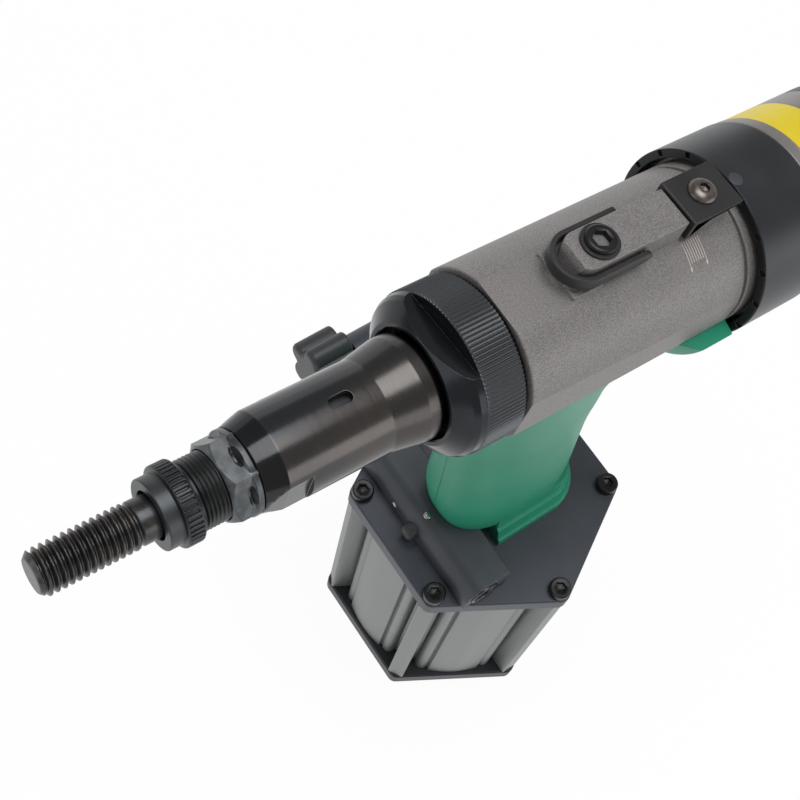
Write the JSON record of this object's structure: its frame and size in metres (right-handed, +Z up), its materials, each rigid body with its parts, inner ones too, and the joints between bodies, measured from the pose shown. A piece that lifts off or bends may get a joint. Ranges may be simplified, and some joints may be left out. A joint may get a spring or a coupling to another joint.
{
  "type": "rivet nut setting tool",
  "caption": "Pistol-grip hydropneumatic rivet nut setting tool with a threaded pull stud, hexagonal air cylinder base, hanging bail and stroke adjuster.",
  "frame": {"origin": "centre of the base's underside, on the upright axis of the grip", "axes": "+Z up, -Y forward towards the nose, +X to the operator's left"},
  "size_m": [0.1432, 0.2963, 0.316],
  "materials": {
    "head_paint": "speckled satin enamel",
    "black_anodised": "satin anodised",
    "burnished_steel": "dark burnished, fine turning marks",
    "black_oxide": "black oxide",
    "thread_steel": "phosphated alloy steel",
    "bright_steel": "ground",
    "extrusion": "matt extruded",
    "collar_grey": "turned",
    "green_plastic": "fine moulded",
    "black_plastic": "satin moulded",
    "black_rubber": "matt",
    "label_yellow": "blank printed film",
    "bearing_bronze": "turned"
  },
  "bodies": {
    "root": {"bottom_plate": "black_anodised", "cylinder_gaskets": "black_rubber", "cylinder_body": "extrusion", "top_plate": "black_anodised", "top_screws": "black_oxide", "bottom_screws": "black_oxide", "pump_tube": "bright_steel", "rod_seal": "black_rubber", "valve_block": "black_anodised", "channel_plugs": "bright_steel", "inlet_bush": "bright_steel", "button_spring": "bright_steel", "regulator_body": "black_anodised", "left_grip_shell": "green_plastic", "right_grip_shell": "green_plastic", "trigger_pin": "bright_steel", "valve_bush": "bearing_bronze", "trigger_spring": "bright_steel", "head_casting": "head_paint", "oil_plug": "black_oxide", "plug_seal": "black_rubber", "lock_plate": "black_oxide", "lock_screw": "black_oxide", "rear_collar": "collar_grey", "motor_housing": "collar_grey", "label_band": "label_yellow", "rear_cap": "black_plastic", "rear_screws": "black_oxide", "nose_housing": "burnished_steel", "gland_ring": "bright_steel", "return_spring": "bright_steel", "ring_gear": "bright_steel", "motor_liner": "bright_steel", "motor_end_plates": "bright_steel", "motor_bearings": "bearing_bronze"},
    "pump": {"air_piston": "extrusion", "piston_seal": "black_rubber", "pump_rod": "bright_steel"},
    "draw_piston": {"draw_piston": "bright_steel", "draw_seal": "black_rubber", "thrust_bearing": "bearing_bronze"},
    "spindle": {"spindle": "bright_steel", "mandrel": "thread_steel", "mandrel_adapter": "bright_steel"},
    "carrier": {"planet_carrier": "bright_steel"},
    "planet_1": {"planet_gear_1": "bright_steel"},
    "planet_2": {"planet_gear_2": "bright_steel"},
    "planet_3": {"planet_gear_3": "bright_steel"},
    "rotor": {"motor_rotor": "bright_steel", "motor_vanes": "black_plastic"},
    "anvil": {"anvil": "black_oxide"},
    "lock_nut": {"lock_nut": "burnished_steel"},
    "ring_nut": {"ring_nut": "black_anodised"},
    "bail": {"hanging_bail": "black_oxide"},
    "sleeve": {"adjuster_sleeve": "black_anodised"},
    "trigger": {"trigger": "black_plastic"},
    "plunger": {"trigger_plunger": "bright_steel"},
    "button": {"reverse_button": "black_plastic"},
    "knob": {"star_knob": "black_plastic"}
  },
  "joints": [
    {"name": "pump_stroke", "type": "slide", "parent": "root", "child": "pump", "axis": [0, 0, 1], "range_m": [0, 0.0577]},
    {"name": "draw_stroke", "type": "slide", "parent": "root", "child": "draw_piston", "axis": [0, 0.9896, -0.1438], "range_m": [0, 0.007], "stiffness_N_per_m": 6000, "springref_m": -0.003, "deforming": ["return_spring"]},
    {"name": "spindle_spin", "type": "hinge", "parent": "draw_piston", "child": "spindle", "pos_m": [0, 0, 0.278], "axis": [0, 0.9896, -0.1438], "continuous": true},
    {"name": "carrier_spin", "type": "hinge", "parent": "root", "child": "carrier", "pos_m": [0, 0.04552, 0.27138], "axis": [0, 0.9896, -0.1438], "continuous": true},
    {"name": "planet_1_spin", "type": "hinge", "parent": "carrier", "child": "planet_1", "pos_m": [0, 0.0542, 0.2824], "axis": [0, 0.9896, -0.1438], "continuous": true},
    {"name": "planet_2_spin", "type": "hinge", "parent": "carrier", "child": "planet_2", "pos_m": [0.01052, 0.05158, 0.26436], "axis": [0, 0.9896, -0.1438], "continuous": true},
    {"name": "planet_3_spin", "type": "hinge", "parent": "carrier", "child": "planet_3", "pos_m": [-0.01052, 0.05158, 0.26436], "axis": [0, 0.9896, -0.1438], "continuous": true},
    {"name": "rotor_spin", "type": "hinge", "parent": "root", "child": "rotor", "pos_m": [0, 0.07917, 0.26649], "axis": [0, 0.9896, -0.1438], "continuous": true},
    {"name": "anvil_spin", "type": "hinge", "parent": "root", "child": "anvil", "pos_m": [0, -0.12469, 0.29612], "axis": [0, 0.9896, -0.1438], "continuous": true},
    {"name": "lock_nut_spin", "type": "hinge", "parent": "root", "child": "lock_nut", "pos_m": [0, -0.12172, 0.29569], "axis": [0, 0.9896, -0.1438], "continuous": true},
    {"name": "ring_nut_spin", "type": "hinge", "parent": "root", "child": "ring_nut", "pos_m": [0, -0.04948, 0.28519], "axis": [0, 0.9896, -0.1438], "continuous": true},
    {"name": "bail_swing", "type": "hinge", "parent": "root", "child": "bail", "pos_m": [0, 0.0081, 0.30734], "axis": [-1, 0, 0], "range_deg": [0, 145]},
    {"name": "sleeve_spin", "type": "hinge", "parent": "root", "child": "sleeve", "pos_m": [0, 0.05938, 0.26937], "axis": [0, 0.9896, -0.1438], "continuous": true},
    {"name": "trigger_pull", "type": "hinge", "parent": "root", "child": "trigger", "pos_m": [0, -0.03, 0.245], "axis": [1, 0, 0], "range_deg": [0, 7], "stiffness_Nm_per_rad": 0.3, "springref_deg": -5.73},
    {"name": "plunger_push", "type": "slide", "parent": "root", "child": "plunger", "axis": [0, 1, 0], "range_m": [0, 0.002], "deforming": ["trigger_spring"]},
    {"name": "button_push", "type": "slide", "parent": "root", "child": "button", "axis": [0, 1, 0], "range_m": [0, 0.0025], "stiffness_N_per_m": 500, "springref_m": -0.002, "deforming": ["button_spring"]},
    {"name": "knob_turn", "type": "hinge", "parent": "root", "child": "knob", "pos_m": [-0.073, -0.0275, 0.1304], "axis": [0, 1, 0], "continuous": true}
  ],
  "couplings": [
    {"joint": "draw_stroke", "follows": "pump_stroke", "ratio": 0.12121},
    {"joint": "carrier_spin", "follows": "spindle_spin", "ratio": 1},
    {"joint": "planet_1_spin", "follows": "spindle_spin", "ratio": -2.8},
    {"joint": "planet_2_spin", "follows": "spindle_spin", "ratio": -2.8},
    {"joint": "planet_3_spin", "follows": "spindle_spin", "ratio": -2.8},
    {"joint": "rotor_spin", "follows": "spindle_spin", "ratio": 4.5},
    {"joint": "plunger_push", "follows": "trigger_pull", "m_per_rad": 0.016}
  ]
}
